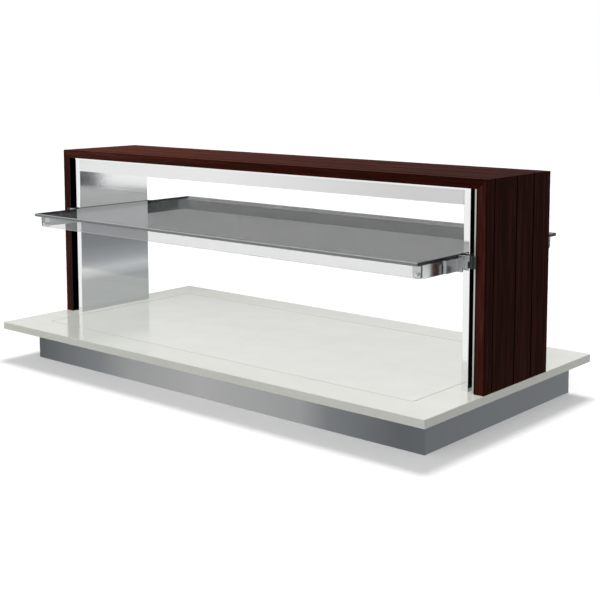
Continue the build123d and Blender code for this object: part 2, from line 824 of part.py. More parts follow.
# Polished arms under the glass ends, with a tab at each end for the lips
bracket_screw_z = (bracket_bottom + glass_bottom) / 2
bracket_screw_ys = (bracket_y + bracket_screw_first, bracket_y + bracket_screw_first + bracket_screw_spacing)
for side in (-1, 1):
    with BuildPart() as arm:
        block(side * (arm_x - arm_thickness), side * arm_x, -arm_y, arm_y, arm_bottom, glass_bottom)
        for end in (-1, 1):
            tab_back = end * (arm_y - arm_tab_thickness)
            with BuildSketch(Plane.XZ.offset(-max(end * arm_y, tab_back))) as tab_outline:
                with Locations((side * (arm_x - arm_tab_width / 2), (arm_bottom + glass_bottom) / 2)):
                    Rectangle(arm_tab_width, lip_height)
                inner_corner = tab_outline.vertices().group_by(Axis.Y)[0].sort_by(Axis.X)[0 if side > 0 else -1]
                fillet(inner_corner, radius=lip_corner)
            extrude(amount=arm_tab_thickness)
            bar_y(
                side * lip_screw_x, lip_screw_z, end * arm_y, end * (arm_y - arm_tab_thickness),
                lip_screw_radius + hole_gap, Mode.SUBTRACT,
            )
            for y in bracket_screw_ys:
                bar_x(
                    end * y, bracket_screw_z, side * arm_x, side * (arm_x - arm_thickness),
                    bracket_screw_radius + hole_gap, Mode.SUBTRACT,
                )
                bar_x(
                    end * y, bracket_screw_z, side * (arm_x - arm_thickness),
                    side * (arm_x - arm_thickness + bracket_screw_head_height),
                    bracket_screw_head_radius + hole_gap, Mode.SUBTRACT,
                )
    save(arm, f"{side_names[side]}_arm")

with BuildPart() as lip_screws:
    for side, end in shelf_ends:
        head_face = end * (lip_y + lip_screw_head_height)
        shank_end = end * (arm_y - arm_tab_thickness)
        bar_y(side * lip_screw_x, lip_screw_z, end * lip_y, head_face, lip_screw_head_radius)
        bar_y(side * lip_screw_x, lip_screw_z, end * lip_y, shank_end, lip_screw_radius)
save(lip_screws, "lip_screws")

# Folded brackets from the arms out to the slots
outer_nose_x = panel_x + shoe_head_cover - shoe_nose_radius
inner_nose_x = outer_nose_x - 2 * shoe_nose_radius
plate_end = inner_nose_x - shoe_nose_radius
clamp_x = slot_x - clamp_offset
clamp_z = bracket_top - clamp_drop
for side, end in shelf_ends:
    with BuildPart() as bracket:
        face = end * (bracket_y + bracket_gauge)
        with BuildSketch(Plane.XZ.offset(-max(face, end * bracket_y))):
            with BuildLine():
                Polyline(
                    (side * arm_x, arm_bottom),
                    (side * (arm_x + bracket_heel), arm_bottom),
                    (side * (arm_x + bracket_heel), bracket_bottom),
                    (side * (plate_end - notch_width), bracket_bottom),
                    (side * (plate_end - notch_width), bracket_bottom + notch_height),
                    (side * plate_end, bracket_bottom + notch_height),
                    (side * plate_end, bracket_top),
                    (side * (glass_x + bracket_glass_gap), bracket_top),
                    (side * (glass_x + bracket_glass_gap), glass_bottom - bracket_glass_gap),
                    (side * arm_x, glass_bottom - bracket_glass_gap),
                    close=True,
                )
            make_face()
        extrude(amount=bracket_gauge)
        block(
            side * arm_x, side * (arm_x + bracket_gauge), end * bracket_y, end * (bracket_y + bracket_reach),
            arm_bottom, glass_bottom - bracket_glass_gap,
        )
        for y in bracket_screw_ys:
            bar_x(
                end * y, bracket_screw_z, side * arm_x, side * (arm_x + bracket_gauge),
                bracket_screw_radius + hole_gap, Mode.SUBTRACT,
            )
        bar_y(
            side * clamp_x, clamp_z, end * bracket_y, end * (bracket_y + bracket_gauge),
            clamp_radius + hole_gap, Mode.SUBTRACT,
        )
    save(bracket, f"{side_names[side]}_{end_names[end]}_bracket")

with BuildPart() as bracket_screws:
    for side, end in shelf_ends:
        for y in bracket_screw_ys:
            bar_x(
                end * y, bracket_screw_z, side * (arm_x - arm_thickness), side * (arm_x + bracket_gauge),
                bracket_screw_radius,
            )
            bar_x(
                end * y, bracket_screw_z, side * (arm_x - arm_thickness),
                side * (arm_x - arm_thickness + bracket_screw_head_height), bracket_screw_head_radius,
            )
save(bracket_screws, "bracket_screws")

# Slide shoes: a stem in the slot and a head that laps the plate's edge
head_x = slot_x - shoe_head_lap
head_end = panel_x + shoe_head_cover
stem_inner = slot_x + shoe_gap
stem_outer = plate_x - shoe_gap
for side, end in shelf_ends:
    with BuildPart() as shoe:
        block(
            side * stem_inner, side * stem_outer, end * (portal_y + shoe_gap),
            end * (portal_y + shoe_gap - shoe_stem), bracket_bottom, bracket_top,
        )
        with BuildSketch(Plane.XY.offset(bracket_bottom)):
            with Locations((side * (head_x + head_end) / 2, end * (bracket_y - shoe_head / 2))):
                Rectangle(head_end - head_x, shoe_head)
            for nose_x in (inner_nose_x, outer_nose_x):
                with Locations((side * nose_x, end * (bracket_y - shoe_gap))):
                    Circle(shoe_nose_radius)
        extrude(amount=bracket_height)
        bar_y(
            side * clamp_x, clamp_z, end * (portal_y + shoe_gap), end * bracket_y, clamp_radius + hole_gap,
            Mode.SUBTRACT,
        )
    save(shoe, f"{side_names[side]}_{end_names[end]}_shoe")

# A bar in each slot joins the front shoe to the rear one
bar_mid = (slot_x + plate_x) / 2
bar_y_end = portal_y + shoe_gap - shoe_stem
for side in (-1, 1):
    with BuildPart() as carriage_bar:
        block(
            side * (bar_mid - bar_thickness / 2), side * (bar_mid + bar_thickness / 2), -bar_y_end, bar_y_end,
            bracket_bottom, bracket_top,
        )
    save(carriage_bar, f"{side_names[side]}_carriage_bar")

# Grub screws press soft pads on the columns and hold the shelf at its height
pad_face = column_y + shoe_gap
with BuildPart() as clamp_screws:
    for side, end in shelf_ends:
        bar_y(
            side * clamp_x, clamp_z, end * (pad_face + pad_thickness), end * (bracket_y + bracket_gauge),
            clamp_radius,
        )
save(clamp_screws, "clamp_screws")

with BuildPart() as brake_pads:
    for side, end in shelf_ends:
        bar_y(side * clamp_x, clamp_z, end * pad_face, end * (pad_face + pad_thickness), pad_radius)
save(brake_pads, "brake_pads")

# Stops in the slots, above and below the bars
with BuildPart() as travel_stops:
    for side in (-1, 1):
        lower_top = bracket_bottom - travel_down - stop_gap
        upper_bottom = bracket_top + travel_up + stop_gap
        for bottom in (lower_top - stop_height, upper_bottom):
            block(
                side * (plate_x - stop_thickness), side * plate_x, -stop_depth / 2, stop_depth / 2, bottom,
                bottom + stop_height,
            )
save(travel_stops, "travel_stops")
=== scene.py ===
"""Looks of the refrigerated buffet island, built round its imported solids."""

import bpy
import math
import numpy as np
from mathutils import Matrix, Vector


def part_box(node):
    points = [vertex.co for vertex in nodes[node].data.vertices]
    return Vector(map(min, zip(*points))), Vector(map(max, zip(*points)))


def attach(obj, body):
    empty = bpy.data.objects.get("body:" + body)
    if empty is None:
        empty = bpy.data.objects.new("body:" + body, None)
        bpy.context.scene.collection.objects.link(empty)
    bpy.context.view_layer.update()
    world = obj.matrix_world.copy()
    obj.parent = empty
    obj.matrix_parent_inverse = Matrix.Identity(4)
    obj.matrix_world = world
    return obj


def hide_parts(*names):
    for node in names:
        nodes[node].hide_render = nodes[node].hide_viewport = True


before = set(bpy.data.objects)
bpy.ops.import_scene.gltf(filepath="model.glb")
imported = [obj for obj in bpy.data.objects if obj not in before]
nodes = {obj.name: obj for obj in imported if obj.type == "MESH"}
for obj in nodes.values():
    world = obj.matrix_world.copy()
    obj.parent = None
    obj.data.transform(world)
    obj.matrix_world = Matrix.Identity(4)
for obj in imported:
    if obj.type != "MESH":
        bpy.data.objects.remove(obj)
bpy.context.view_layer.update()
MM = 0.001

# Sockets of the Mix node, whose names repeat: factor, the two floats, the two colours, and the mixed colour
FACTOR, FLOAT_A, FLOAT_B, COLOUR_A, COLOUR_B = 0, 2, 3, 6, 7
MIXED_COLOUR = 2

# Sizes of the patterns, in metres. The wood's bands and the waves in a polish are as wide as real ones. The
# others are coarser, so that they show in the render: real pores are 0.3 mm wide, brush lines 0.05 mm,
# moulded grit 0.1 mm, quartz grit 0.5 mm and foam cells 0.3 mm.
pore_width, pore_length = 0.0045, 0.12
band_width, band_length = 0.014, 0.5
brush_width, brush_length = 0.0006, 0.09
polish_wave = 0.004
grit_width = 0.0009
quartz_width = 0.0024
foam_cell = 0.003


# Colour and node helpers

def linear(code):
    """The linear RGBA value of an sRGB hex colour."""
    parts = [int(code[i:i + 2], 16) / 255 for i in (1, 3, 5)]
    return [c / 12.92 if c <= 0.04045 else ((c + 0.055) / 1.055) ** 2.4 for c in parts] + [1.0]


def shades(code, share):
    """A hex colour made darker and lighter by a share of itself, as linear RGBA."""
    base = np.array(linear(code)[:3])
    return [*(base * (1 - share)), 1.0], [*np.minimum(base * (1 + share), 1.0), 1.0]


def add(tree, kind, settings=None, values=None, links=None, stops=()):
    """Adds one node, with its settings, the values of its sockets and what is linked into them.

    A link comes from a socket or from a node's first output. stops are a ramp's (position, colour) pairs."""
    node = tree.nodes.new(kind)
    for name, value in (settings or {}).items():
        setattr(node, name, value)
    for socket, value in (values or {}).items():
        node.inputs[socket].default_value = value
    for socket, source in (links or {}).items():
        output = source if isinstance(source, bpy.types.NodeSocket) else source.outputs[0]
        tree.links.new(output, node.inputs[socket])
    if stops:
        elements = node.color_ramp.elements
        while len(elements) < len(stops):
            elements.new(0.5)
        for element, (position, colour) in zip(elements, stops):
            element.position = position
            element.color = linear(colour) if isinstance(colour, str) else colour
    return node


def start(name):
    """A new material, its empty tree and the position on the piece."""
    made = bpy.data.materials.new(name)
    made.use_nodes = True
    made.node_tree.nodes.clear()
    return made, made.node_tree, add(made.node_tree, "ShaderNodeTexCoord").outputs["Object"]


def grained(tree, place, width, length, along, values):
    """Noise of a width, drawn out to a length on the axis along, or even where that is None."""
    scale = [1 / width] * 3
    if along is not None:
        scale[along] = 1 / length
    drawn = add(tree, "ShaderNodeMapping", values={"Scale": scale}, links={"Vector": place})
    return add(tree, "ShaderNodeTexNoise", values={"Scale": 1.0, **values}, links={"Vector": drawn})


def facing(tree, axis):
    """How squarely a face looks along an axis, either way: from 1, straight along it, to 0."""
    normal = add(tree, "ShaderNodeNewGeometry").outputs["Normal"]
    split = add(tree, "ShaderNodeSeparateXYZ", links={"Vector": normal})
    return add(tree, "ShaderNodeMath", {"operation": "ABSOLUTE"}, links={"Value": split.outputs[axis]})


def toned(tree, colour, place, axis, begin, end, stops, faces=None):
    """A colour multiplied by tones that run from begin to end along an axis, in metres.

    They lie on the faces that look along the axis faces, or on all where that is None."""
    split = add(tree, "ShaderNodeSeparateXYZ", links={"Vector": place})
    share = add(
        tree, "ShaderNodeMapRange", values={"From Min": begin, "From Max": end},
        links={"Value": split.outputs[axis]},
    )
    tones = add(tree, "ShaderNodeValToRGB", links={"Fac": share}, stops=stops)
    mixed = add(
        tree, "ShaderNodeMix", {"data_type": "RGBA", "blend_type": "MULTIPLY"}, {FACTOR: 1.0},
        {COLOUR_A: colour, COLOUR_B: tones},
    )
    if faces is not None:
        tree.links.new(facing(tree, faces).outputs[0], mixed.inputs[FACTOR])
    return mixed.outputs[MIXED_COLOUR]


# Kinds of material

def wenge(name, tones, lit_edge_tones, along, painted_sheen=None):
    """Open-pored dark veneer under matt lacquer: long pores and soft bands along the grain's axis.

    tones go from the pores to the lightest wood. The second tones are those of a redder edge veneer on the
    faces that look to the front or the rear, made lighter too as painted light on those faces. The sloping
    faces between them, which are the V-grooves, are darker with painted shade. The last argument gives a
    broad
    painted sheen along X: (from, to, stops)."""
    marks, band_share, painted_groove_shade = (0.30, 0.50, 0.68), 0.42, "#505050"
    made, tree, place = start(name)
    pores = grained(tree, place, pore_width, pore_length, along, {"Detail": 4.0, "Roughness": 0.6})
    bands = grained(
        tree, place, band_width, band_length, along, {"Detail": 5.0, "Roughness": 0.55, "Distortion": 0.6}
    )
    figure = add(
        tree, "ShaderNodeMix", {"data_type": "FLOAT"}, {FACTOR: band_share}, {FLOAT_A: pores, FLOAT_B: bands}
    )
    wood, edge = (
        add(tree, "ShaderNodeValToRGB", links={"Fac": figure}, stops=list(zip(marks, colours)))
        for colours in (tones, lit_edge_tones)
    )
    # Faces that look to the front or the rear take the lighter edge tones, which are also painted light there
    square = facing(tree, 1)
    front = add(
        tree, "ShaderNodeMapRange", values={"From Min": 0.9, "From Max": 1.0}, links={"Value": square}
    )
    veneer = add(
        tree, "ShaderNodeMix", {"data_type": "RGBA"}, links={FACTOR: front, COLOUR_A: wood, COLOUR_B: edge}
    )
    # Painted shade in the V-grooves: their sloping faces are darkened
    groove_shade = add(
        tree, "ShaderNodeValToRGB", links={"Fac": square},
        stops=[(0.0, "#ffffff"), (0.5, "#ffffff"), (0.6, painted_groove_shade), (0.88, painted_groove_shade),
               (0.94, "#ffffff"), (1.0, "#ffffff")],
    )
    colour = add(
        tree, "ShaderNodeMix", {"data_type": "RGBA", "blend_type": "MULTIPLY"}, {FACTOR: 1.0},
        {COLOUR_A: veneer.outputs[MIXED_COLOUR], COLOUR_B: groove_shade},
    ).outputs[MIXED_COLOUR]
    # Broad painted sheen along X
    if painted_sheen:
        colour = toned(tree, colour, place, 0, *painted_sheen)
    rough = add(tree, "ShaderNodeMapRange", values={"To Min": 0.7, "To Max": 0.56}, links={"Value": pores})
    bump = add(
        tree, "ShaderNodeBump", values={"Strength": 0.16, "Distance": 0.0004}, links={"Height": pores}
    )
    shade = add(
        tree, "ShaderNodeBsdfPrincipled", values={"IOR": 1.5, "Specular IOR Level": 0.012},
        links={"Base Color": colour, "Roughness": rough, "Normal": bump},
    )
    add(tree, "ShaderNodeOutputMaterial", links={"Surface": shade})
    return made


def metal(name, code, rough, along=None, grain=brush_width, depth=0.05, streak=0.06, tones=None):
    """Metal whose fine grain, long on the axis along or else even, draws out what it mirrors.

    depth is the strength of the grain's bump, and streak is how far its lines stray from the colour. tones
    are broad reflections, as toned takes them."""
    cloud_share, spread = 0.3, 0.2
    made, tree, place = start(name)
    lines = grained(tree, place, grain, brush_length, along, {"Detail": 3.0, "Roughness": 0.7})
    cloud = add(tree, "ShaderNodeTexNoise", values={"Scale": 5.0, "Detail": 2.0}, links={"Vector": place})
    both = add(
        tree, "ShaderNodeMix", {"data_type": "FLOAT"}, {FACTOR: cloud_share}, {FLOAT_A: lines, FLOAT_B: cloud}
    )
    dark, light = shades(code, streak)
    colour = add(
        tree, "ShaderNodeValToRGB", links={"Fac": both}, stops=[(0.3, dark), (0.7, light)]
    ).outputs["Color"]
    if tones:
        colour = toned(tree, colour, place, *tones)
    blur = add(
        tree, "ShaderNodeMapRange",
        values={"To Min": rough * (1 - spread), "To Max": rough * (1 + spread)}, links={"Value": both},
    )
    bump = add(
        tree, "ShaderNodeBump", values={"Strength": depth, "Distance": 0.0002}, links={"Height": lines}
    )
    shade = add(
        tree, "ShaderNodeBsdfPrincipled", values={"Metallic": 1.0},
        links={"Base Color": colour, "Roughness": blur, "Normal": bump},
    )
    add(tree, "ShaderNodeOutputMaterial", links={"Surface": shade})
    return made


def moulded(name, code, rough, grain=grit_width, depth=0.08):
    """Moulded or coated plastic and rubber, whose even fine grit softens its gloss."""
    mottle, spread = 0.07, 0.05
    made, tree, place = start(name)
    dark, light = shades(code, mottle)
    grit = add(
        tree, "ShaderNodeTexNoise", values={"Scale": 1 / grain, "Detail": 2.0}, links={"Vector": place}
    )
    colour = add(tree, "ShaderNodeValToRGB", links={"Fac": grit}, stops=[(0.0, dark), (1.0, light)])
    blur = add(
        tree, "ShaderNodeMapRange", values={"To Min": rough - spread, "To Max": rough + spread},
        links={"Value": grit},
    )
    bump = add(
        tree, "ShaderNodeBump", values={"Strength": depth, "Distance": 0.0003}, links={"Height": grit}
    )
    shade = add(
        tree, "ShaderNodeBsdfPrincipled", values={"IOR": 1.5},
        links={"Base Color": colour, "Roughness": blur, "Normal": bump},
    )
    add(tree, "ShaderNodeOutputMaterial", links={"Surface": shade})
    return made


def quartz_stone(name, tones, rough):
    """Polished engineered stone: a pale resin body with quartz grit, so a fine fleck and a wet gloss.

    tones are the body's darker and lighter one and the flecks' own."""
    fleck_share, fleck_core, fleck_rim, spread = 0.35, 0.10, 0.22, 0.2
    dark, light, fleck = tones
    made, tree, place = start(name)
    cloud = add(
        tree, "ShaderNodeTexNoise", values={"Scale": 9.0, "Detail": 4.0, "Roughness": 0.55},
        links={"Vector": place},
    )
    body = add(tree, "ShaderNodeValToRGB", links={"Fac": cloud}, stops=[(0.3, dark), (0.7, light)])
    grit = add(
        tree, "ShaderNodeTexVoronoi", {"feature": "F1"}, {"Scale": 1 / quartz_width}, {"Vector": place}
    )
    grains = add(
        tree, "ShaderNodeMapRange",
        values={"From Min": fleck_core, "From Max": fleck_rim, "To Min": 1.0, "To Max": 0.0},
        links={"Value": grit.outputs["Distance"]},
    )
    faint = add(tree, "ShaderNodeMath", {"operation": "MULTIPLY"}, {1: fleck_share}, {0: grains})
    mixed = add(
        tree, "ShaderNodeMix", {"data_type": "RGBA"}, {COLOUR_B: linear(fleck)},
        {FACTOR: faint, COLOUR_A: body},
    )
    blur = add(
        tree, "ShaderNodeMapRange",
        values={"To Min": rough * (1 - spread), "To Max": rough * (1 + spread)}, links={"Value": cloud},
    )
    shade = add(
        tree, "ShaderNodeBsdfPrincipled", values={"IOR": 1.54, "Coat Weight": 0.1, "Coat Roughness": 0.06},
        links={"Base Color": mixed.outputs[MIXED_COLOUR], "Roughness": blur},
    )
    add(tree, "ShaderNodeOutputMaterial", links={"Surface": shade})
    return made


def tinted_glass(name, code, cover, rough=0.02, gloss=0.5):
    """Toughened glass as a thin pane: its tint covers a share of what is behind it, under a clean gloss."""
    mottle = 0.03
    made, tree, place = start(name)
    dark, light = shades(code, mottle)
    tint = add(tree, "ShaderNodeTexNoise", values={"Scale": 3.0, "Detail": 1.0}, links={"Vector": place})
    colour = add(tree, "ShaderNodeValToRGB", links={"Fac": tint}, stops=[(0.0, dark), (1.0, light)])
    shade = add(
        tree, "ShaderNodeBsdfPrincipled",
        values={"Roughness": rough, "IOR": 1.52, "Alpha": cover, "Specular IOR Level": gloss},
        links={"Base Color": colour},
    )
    add(tree, "ShaderNodeOutputMaterial", links={"Surface": shade})
    return made


# Stone: engineered quartz, cast, ground and polished, which is pale with small grey flecks under a wet gloss.
# The cold plate is a slab of its own, so it is a shade lighter and glossier.
stone = quartz_stone("polished_quartz_stone", ("#d2d3cb", "#d8d9d1", "#c0c1b9"), 0.14)
cold_stone = quartz_stone("polished_quartz_cold_plate", ("#d3d4cd", "#d9dad3", "#c2c3bc"), 0.12)

# Wood: sliced wenge veneer under matt lacquer. The uprights have standing grain and look nearly black with a
# red edge veneer, whose lighter tone is also painted light on the faces towards the front and rear. The beam
# has lying grain and looks redder, with a painted sheen that darkens it towards its right end.
veneer_upright = wenge(
    "wenge_veneer_upright", ("#160703", "#2a120c", "#402018"), ("#260d09", "#3d1a15", "#522e26"), 2
)
veneer_beam = wenge(
    "wenge_veneer_beam", ("#260b05", "#461a0b", "#612817"), ("#31150e", "#4b271e", "#5f382e"), 0,
    (-0.65, 0.6, [(0.0, "#ffffff"), (0.45, "#d0b8b2"), (1.0, "#a98a80")]),
)

# Brushed stainless sheet, finely ground: the columns mirror the room a little blurred, and their inner faces
# carry a painted reflection that makes them greyer near the stone
brushed = metal(
    "brushed_stainless_steel", "#eef0f0", 0.07, along=1,
    tones=(2, 0.104, 0.572, [(0.0, "#c6c9ca"), (0.2, "#c9cccd"), (0.27, "#ffffff"), (1.0, "#ffffff")], 0),
)
# Brushed stainless sheet, coarsely ground: the studio's broad light and dark on the skirt are painted
# reflections, as tones along its length
skirt_steel = metal(
    "brushed_stainless_skirt", "#ffffff", 0.24, along=0, depth=0.08,
    tones=(0, -0.668, 0.706, [(0.0, "#565a5c"), (0.09, "#6b6e70"), (0.20, "#7d8082"), (0.29, "#999b9b"),
                              (0.49, "#ababab"), (0.64, "#a2a3a3"), (0.74, "#999a9b"), (0.80, "#7a7d7f"),
                              (0.95, "#5f6264"), (1.0, "#616567")]),
)
# Satin stainless bar in the depth of a slot: painted nearly black for the slot's shade, with one painted
# highlight line down the right one
slide_steel = metal(
    "satin_stainless_slide_plate", "#f0efec", 0.3, along=2,
    tones=(0, 0.717, 0.729, [(0.0, "#171413"), (0.17, "#171413"), (0.20, "#cac6c0"), (0.51, "#cac6c0"),
                             (0.55, "#171413"), (1.0, "#171413")]),
)
# Mirror-polished stainless bar: the arms show the room's light and dark clearly, and their sides are painted
# greyer, a painted reflection
polished = metal(
    "mirror_polished_stainless", "#f6f7f7", 0.13, grain=polish_wave, depth=0.01, streak=0.02,
    tones=(2, 0.0, 1.0, [(0.0, "#dce0e1"), (1.0, "#dce0e1")], 0),
)
# Satin-ground stainless: an even soft grey on brackets, screws and the well tray
satin = metal("satin_ground_stainless", "#b6b9ba", 0.32, along=2)
# Bead-blasted stainless: pale and dull, so that the screw heads stay quiet on the glass
blasted = metal("bead_blasted_stainless", "#dcdedd", 0.5)
# Zinc-plated pressed steel: a dull bluish grey, on what stays hidden
plated = metal("zinc_plated_pressed_steel", "#a4a7a8", 0.35)
# Silver-anodised extruded aluminium: almost white and softly shiny, with a painted sheen that greys it
# towards its right end
anodised = metal(
    "silver_anodised_aluminium", "#ffffff", 0.42, along=0, depth=0.04, streak=0.03,
    tones=(0, -0.68, 0.68, [(0.0, "#eeefee"), (0.4, "#f4f5f4"), (0.62, "#eaebea"), (0.9, "#d8d9d8"),
                            (1.0, "#d8d9d8")]),
)
# Aluminium as it leaves the mill: a flat light grey without a clear reflection
mill = metal("mill_finish_aluminium", "#b9bbbc", 0.32)
# Drawn copper tube: bright and pinkish
copper = metal("drawn_copper_tube", "#b87a5a", 0.28)
# Turned brass: yellow, with sharp bright facets
turned_brass = metal("turned_brass", "#c2a565", 0.25)

# Machined acetal: black with a greasy sheen, for the slide shoes
acetal = moulded("black_acetal", "#1b1c1d", 0.38)
# Moulded polyamide: black and semi-matt, for the cable gland
black_plastic = moulded("black_polyamide", "#161616", 0.45)
# Moulded ABS: an even mid grey, for the terminal box
grey_plastic = moulded("grey_abs", "#8d8f91", 0.45)
# Moulded polycarbonate: off-white and semi-gloss, for the electrical pieces
white_plastic = moulded("white_polycarbonate", "#dcdcd9", 0.4)
# Extruded opal acrylic: milky and smooth, so that it hides the strips behind it
opal = moulded("extruded_opal_acrylic", "#f1f1ee", 0.25, depth=0.02)
# Silicone seam, tooled smooth: a thin line slightly darker than the stone
seam = moulded("grey_silicone_seam", "#b4b5ae", 0.5)
# Moulded silicone pads: black and matt
rubber = moulded("black_silicone_pad", "#141414", 0.6)
# Extruded PVC sheath: black with a dull gloss
sheath = moulded("black_pvc_sheath", "#1a1a1a", 0.5)
# Poured polyurethane foam: cream-coloured and rough
foam = moulded("poured_polyurethane_foam", "#ddd0a0", 0.8, grain=foam_cell)

# Smoked float glass, ground edges, toughened: dark and see-through on its faces. Its edges are seen along the
# glass's length, so they cover what is behind them: grey along the front and black at the ends, where the
# black also paints the shade of the gap beside them. The pale line on the arris is a painted highlight.
smoked = tinted_glass("smoked_toughened_glass", "#36393a", 0.56, gloss=0.8)
smoked_edge = tinted_glass("smoked_glass_long_edge", "#7c7f80", 0.95, 0.25, 0.3)
smoked_end = tinted_glass("smoked_glass_end_edge", "#101112", 0.97, gloss=0.1)
smoked_arris_highlight = tinted_glass("smoked_glass_arris_highlight", "#b9bcbd", 0.95, 0.35, 0.1)
# Clear float glass, polished edges, toughened: a faint grey veil, with stronger lines where its edges show
clear = tinted_glass("clear_toughened_glass", "#c1c3c2", 0.283)
clear_edge = tinted_glass("clear_glass_long_edge", "#c8cac9", 0.5, gloss=0.4)
clear_end = tinted_glass("clear_glass_end_edge", "#3f4443", 0.85, gloss=0.2)


# Finishes of the CAD nodes that no piece below replaces

brackets = "left_front_bracket left_rear_bracket right_front_bracket right_rear_bracket"
shoes = brackets.replace("bracket", "shoe")

for finish, names in (
    (stone, "worktop"),
    (cold_stone, "cold_plate"),
    (seam, "seam_seal"),
    (veneer_upright, "left_leg_panel right_leg_panel"),
    (veneer_beam, "beam_panel"),
    (brushed, "left_column right_column crosshead"),
    (skirt_steel, "base_skirt"),
    (slide_steel, "left_slide_plate right_slide_plate"),
    (satin, "well_tray temperature_probe tie_rods tie_nuts panel_screws leg_screws tray_screws"),
    (satin, brackets),
    (polished, "left_arm right_arm"),
    (plated, "support_plate floor_pan front_rail rear_rail cross_members"),
    (anodised, "light_housing"),
    (mill, "slot_spacers travel_stops left_carriage_bar right_carriage_bar spreader_plate"),
    (copper, "evaporator_coil"),
    (acetal, shoes),
    (grey_plastic, "terminal_box terminal_cover"),
    (white_plastic, "terminal_block led_driver led_strips"),
    (opal, "light_diffuser"),
    (rubber, "brake_pads"),
    (sheath, "driver_lead lighting_cable probe_lead"),
    (foam, "insulation"),
):
    for name in names.split():
        nodes[name].data.materials.clear()
        nodes[name].data.materials.append(finish)


# Surfaces worked out on grids, in mm

sharp = math.radians(40)


def rounded_outline(half_u, half_v, radii, steps=9):
    """A rectangle with round corners, anticlockwise from the +u +v corner.

    Each corner is its centre + r (cos a, sin a), a over one quarter turn. Returns points and their outward
    normals."""
    turn = np.linspace(0, np.pi / 2, steps)
    points, normals = [], []
    for k, ((su, sv), r) in enumerate(zip(((1, 1), (-1, 1), (-1, -1), (1, -1)), radii)):
        out = np.stack([np.cos(turn + k * np.pi / 2), np.sin(turn + k * np.pi / 2)], 1)
        points.append(np.array([su * (half_u - r), sv * (half_v - r)]) + r * out)
        normals.append(out)
    return np.concatenate(points), np.concatenate(normals)


def arrissed(thickness, arris, steps=4):
    """Edge profile of a plate: a quarter round of the arris at its bottom and at its top.

    Rows of (inset, height) are arris (1 - sin t, 1 - cos t), t over a quarter turn, and those mirrored."""
    t = np.linspace(0, np.pi / 2, steps)
    low = np.stack([arris * (1 - np.sin(t)), arris * (1 - np.cos(t))], 1)
    high = np.stack([arris * (1 - np.cos(t)), thickness - arris * (1 - np.sin(t))], 1)
    return np.concatenate([low, high])


def rings_to_faces(rows, count):
    """Quads between rows of rings of count points, then the two end caps."""
    i, j = np.meshgrid(np.arange(rows - 1), np.arange(count), indexing="ij")
    after = (j + 1) % count
    quads = np.stack([i * count + j, i * count + after, (i + 1) * count + after, (i + 1) * count + j], -1)
    bottom = list(range(count))[::-1]
    top = list(range((rows - 1) * count, rows * count))
    return quads.reshape(-1, 4).tolist(), [bottom, top]


def piece(name, points, faces, materials, body, replaced, picks=None, smooth=True):
    """Puts computed points and faces into a mesh that rides a body and replaces a node.

    picks give each face its material, and smooth rounds the shading up to the sharp edges."""
    mesh = bpy.data.meshes.new(name)
    mesh.from_pydata((np.asarray(points) * MM).tolist(), [], faces)
    for material in materials:
        mesh.materials.append(material)
    if picks is not None:
        mesh.polygons.foreach_set("material_index", np.asarray(picks, dtype=np.int32))
    mesh.polygons.foreach_set("use_smooth", np.full(len(faces), smooth))
    mesh.update()
    made = bpy.data.objects.new(name, mesh)
    bpy.context.scene.collection.objects.link(made)
    if smooth:
        made.modifiers.new("crease", "EDGE_SPLIT").split_angle = sharp
    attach(made, body)
    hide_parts(replaced)
    return made


def middle(node):
    """Centre and half sizes of a node's box."""
    low, high = (np.array(corner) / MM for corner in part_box(node))
    return (low + high) / 2, (high - low) / 2


# Glass plates: the shelf and its two lips

FACE, LONG_EDGE, END_EDGE, UPPER_ARRIS = range(4)


def pane(name, outline, profile, origin, u, v, materials, body, node):
    """A glass plate: the outline carried along its edge profile, point = origin + (p - inset n) + height w.

    materials are the faces, the long edge towards -v, the end edges and that long edge's upper arris. The
    long edge towards +v is seen through the glass, so it looks like the faces."""
    square_on = 1.4  # of 2, the sum of two neighbouring normals along u
    points, normals = outline
    u, v = np.array(u, float), np.array(v, float)
    w = np.cross(u, v)
    flat = points[None] - profile[:, :1, None] * normals[None]
    solid = np.array(origin) + flat[..., :1] * u + flat[..., 1:] * v + profile[:, 1:, None] * w
    sides, caps = rings_to_faces(len(profile), len(points))
    looks_along_u = np.abs(normals[:, 0] + np.roll(normals[:, 0], -1)) > square_on
    around = np.where(looks_along_u, END_EDGE, LONG_EDGE)
    around[(around == LONG_EDGE) & (normals[:, 1] > 0)] = FACE
    bands = np.tile(around, (len(profile) - 1, 1))
    upper = len(profile) // 2 - 1
    bands[-upper:, around == LONG_EDGE] = UPPER_ARRIS
    picks = np.append(bands.ravel(), [FACE, FACE])
    made = piece(name, solid.reshape(-1, 3), sides + caps, materials, body, node, picks, smooth=False)
    made.visible_shadow = False


shelf_corner, shelf_arris = 2, 1.6
centre, half = middle("shelf_glass")
pane(
    "shelf_glass_pane",
    rounded_outline(half[0], half[1], [shelf_corner] * 4), arrissed(2 * half[2], shelf_arris),
    centre - [0, 0, half[2]], (1, 0, 0), (0, 1, 0), (smoked, smoked_edge, smoked_end, smoked_arris_highlight),
    "shelf", "shelf_glass",
)

lip_upper_corner, lip_lower_corner, lip_arris = 1.2, 8, 1.0
for lip in ("front_lip", "rear_lip"):
    centre, half = middle(lip)
    pane(
        f"{lip}_pane",
        rounded_outline(half[0], half[2], [lip_upper_corner] * 2 + [lip_lower_corner] * 2),
        arrissed(2 * half[1], lip_arris), centre + [0, half[1], 0], (1, 0, 0), (0, 0, 1),
        (clear, clear_edge, clear_end, clear_edge), "shelf", lip,
    )


# Fasteners and fittings, turned from a profile: screws, pipe unions and the cable gland

ROUND, HEXAGON = 0, 1
corners = [(side, end) for side in (-1, 1) for end in (-1, 1)]


